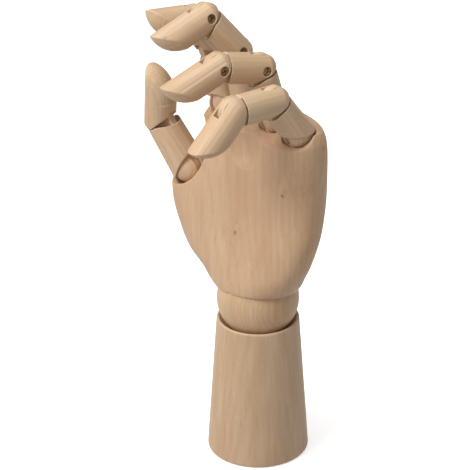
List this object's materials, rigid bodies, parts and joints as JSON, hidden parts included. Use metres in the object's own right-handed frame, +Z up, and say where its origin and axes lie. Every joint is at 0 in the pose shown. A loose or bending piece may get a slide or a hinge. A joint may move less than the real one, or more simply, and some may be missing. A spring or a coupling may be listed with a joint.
{
  "type": "articulated artist hand",
  "caption": "Jointed wooden drawing hand on a tapered forearm base, with a ball wrist, ball knuckles and hinged finger joints.",
  "frame": {"origin": "centre of the forearm base's foot, on the table", "axes": "+Z up along the forearm, -Y the way the palm faces, -X the thumb's side, +X the little finger's side"},
  "size_m": [0.1284, 0.1036, 0.2983],
  "materials": {
    "base_wood": "smooth sanded pale hardwood, unvarnished, upright grain",
    "palm_wood": "smooth sanded pale hardwood, unvarnished, upright grain",
    "ball_wood": "turned and sanded pale hardwood",
    "finger_wood": "turned and sanded pale hardwood, grain along each bone",
    "dark_steel": "dark bronzed steel screws and pins",
    "spring_steel": "bright drawn spring wire"
  },
  "bodies": {
    "forearm": {"forearm_base": "base_wood", "base_plug": "base_wood", "base_anchor_bar": "dark_steel"},
    "wrist_core": {"wrist_spring": "spring_steel"},
    "wrist_ball": {"wrist_ball": "ball_wood"},
    "palm": {"palm_block": "palm_wood", "palm_anchor_pin": "dark_steel", "index_anchor_pin": "dark_steel", "index_spring": "spring_steel", "middle_anchor_pin": "dark_steel", "middle_spring": "spring_steel", "ring_anchor_pin": "dark_steel", "ring_spring": "spring_steel", "little_anchor_pin": "dark_steel", "little_spring": "spring_steel", "thumb_anchor_pin": "dark_steel", "thumb_spring": "spring_steel"},
    "index_knuckle": {"index_knuckle_ball": "ball_wood", "index_knuckle_pin": "dark_steel"},
    "index_proximal": {"index_proximal": "finger_wood"},
    "index_middle": {"index_middle": "finger_wood", "index_middle_screw": "dark_steel"},
    "index_distal": {"index_distal": "finger_wood", "index_distal_screw": "dark_steel"},
    "middle_knuckle": {"middle_knuckle_ball": "ball_wood", "middle_knuckle_pin": "dark_steel"},
    "middle_proximal": {"middle_proximal": "finger_wood"},
    "middle_middle": {"middle_middle": "finger_wood", "middle_middle_screw": "dark_steel"},
    "middle_distal": {"middle_distal": "finger_wood", "middle_distal_screw": "dark_steel"},
    "ring_knuckle": {"ring_knuckle_ball": "ball_wood", "ring_knuckle_pin": "dark_steel"},
    "ring_proximal": {"ring_proximal": "finger_wood"},
    "ring_middle": {"ring_middle": "finger_wood", "ring_middle_screw": "dark_steel"},
    "ring_distal": {"ring_distal": "finger_wood", "ring_distal_screw": "dark_steel"},
    "little_knuckle": {"little_knuckle_ball": "ball_wood", "little_knuckle_pin": "dark_steel"},
    "little_proximal": {"little_proximal": "finger_wood"},
    "little_middle": {"little_middle": "finger_wood", "little_middle_screw": "dark_steel"},
    "little_distal": {"little_distal": "finger_wood", "little_distal_screw": "dark_steel"},
    "thumb_knuckle": {"thumb_knuckle_ball": "ball_wood", "thumb_knuckle_pin": "dark_steel"},
    "thumb_proximal": {"thumb_proximal": "finger_wood"},
    "thumb_distal": {"thumb_distal": "finger_wood", "thumb_distal_screw": "dark_steel"}
  },
  "joints": [
    {"name": "wrist_swivel", "type": "hinge", "parent": "forearm", "child": "wrist_core", "pos_m": [0, 0, 0.1072], "axis": [0, 0, 1], "range_deg": [-60, 60], "deforming": ["wrist_spring"]},
    {"name": "wrist_nod", "type": "hinge", "parent": "wrist_core", "child": "wrist_ball", "pos_m": [0, 0, 0.1072], "axis": [1, 0, 0], "range_deg": [-25, 25], "deforming": ["wrist_spring"]},
    {"name": "wrist_side_tilt", "type": "hinge", "parent": "wrist_ball", "child": "palm", "pos_m": [0, 0, 0.1072], "axis": [0, 1, 0], "range_deg": [-20, 20], "deforming": ["wrist_spring"]},
    {"name": "index_splay", "type": "hinge", "parent": "palm", "child": "index_knuckle", "pos_m": [-0.03982, 0.00639, 0.22558], "axis": [0.014, 0.9992, 0.0367], "range_deg": [-4, 0]},
    {"name": "index_knuckle_flex", "type": "hinge", "parent": "index_knuckle", "child": "index_proximal", "pos_m": [-0.03982, 0.00639, 0.22558], "axis": [0.9678, -0.0228, 0.2506], "range_deg": [-11, 45]},
    {"name": "index_middle_bend", "type": "hinge", "parent": "index_proximal", "child": "index_middle", "pos_m": [-0.04889, 0.00523, 0.2605], "axis": [0.9678, -0.0228, 0.2506], "range_deg": [-26, 59]},
    {"name": "index_distal_bend", "type": "hinge", "parent": "index_middle", "child": "index_distal", "pos_m": [-0.05395, -0.00492, 0.27912], "axis": [0.9678, -0.0228, 0.2506], "range_deg": [-55, 30]},
    {"name": "middle_splay", "type": "hinge", "parent": "palm", "child": "middle_knuckle", "pos_m": [-0.01608, 0.0072, 0.22993], "axis": [0.1271, 0.9845, 0.1206], "range_deg": [0, 4]},
    {"name": "middle_knuckle_flex", "type": "hinge", "parent": "middle_knuckle", "child": "middle_proximal", "pos_m": [-0.01608, 0.0072, 0.22993], "axis": [0.9624, -0.1519, 0.2254], "range_deg": [-18, 51]},
    {"name": "middle_middle_bend", "type": "hinge", "parent": "middle_proximal", "child": "middle_middle", "pos_m": [-0.02477, 0.00404, 0.26493], "axis": [0.9624, -0.1519, 0.2254], "range_deg": [-31, 48]},
    {"name": "middle_distal_bend", "type": "hinge", "parent": "middle_middle", "child": "middle_distal", "pos_m": [-0.03308, -0.01377, 0.28838], "axis": [0.9624, -0.1519, 0.2254], "range_deg": [-73, 12]},
    {"name": "ring_splay", "type": "hinge", "parent": "palm", "child": "ring_knuckle", "pos_m": [0.006, 0.00773, 0.22965], "axis": [0.149, 0.9597, 0.2382], "range_deg": [-5, 3]},
    {"name": "ring_knuckle_flex", "type": "hinge", "parent": "ring_knuckle", "child": "ring_proximal", "pos_m": [0.006, 0.00773, 0.22965], "axis": [0.9807, -0.1742, 0.0884], "range_deg": [-25, 47]},
    {"name": "ring_middle_bend", "type": "hinge", "parent": "ring_proximal", "child": "ring_middle", "pos_m": [0.00166, 0.00015, 0.26292], "axis": [0.9807, -0.1742, 0.0884], "range_deg": [-64, 11]},
    {"name": "ring_distal_bend", "type": "hinge", "parent": "ring_middle", "child": "ring_distal", "pos_m": [-0.00388, -0.02799, 0.26893], "axis": [0.9807, -0.1742, 0.0884], "range_deg": [-33, 30]},
    {"name": "little_splay", "type": "hinge", "parent": "palm", "child": "little_knuckle", "pos_m": [0.02833, 0.00725, 0.22755], "axis": [0.0391, 0.8121, 0.5823], "range_deg": [-5, 8]},
    {"name": "little_knuckle_flex", "type": "hinge", "parent": "little_knuckle", "child": "little_proximal", "pos_m": [0.02833, 0.00725, 0.22755], "axis": [0.9972, -0.0686, 0.0287], "range_deg": [-47, 38]},
    {"name": "little_middle_bend", "type": "hinge", "parent": "little_proximal", "child": "little_middle", "pos_m": [0.02638, -0.01054, 0.25249], "axis": [0.9972, -0.0686, 0.0287], "range_deg": [-54, 11]},
    {"name": "little_distal_bend", "type": "hinge", "parent": "little_middle", "child": "little_distal", "pos_m": [0.02436, -0.03977, 0.25289], "axis": [0.9972, -0.0686, 0.0287], "range_deg": [-46, 15]},
    {"name": "thumb_splay", "type": "hinge", "parent": "palm", "child": "thumb_knuckle", "pos_m": [-0.05575, -0.00931, 0.18065], "axis": [-0.8316, -0.1029, -0.5458], "range_deg": [-8, 8]},
    {"name": "thumb_knuckle_flex", "type": "hinge", "parent": "thumb_knuckle", "child": "thumb_proximal", "pos_m": [-0.05575, -0.00931, 0.18065], "axis": [-0.1997, 0.9724, 0.1209], "range_deg": [-23, 5]},
    {"name": "thumb_distal_bend", "type": "hinge", "parent": "thumb_proximal", "child": "thumb_distal", "pos_m": [-0.07456, -0.01691, 0.21074], "axis": [-0.1997, 0.9724, 0.1209], "range_deg": [-42, 16]}
  ]
}
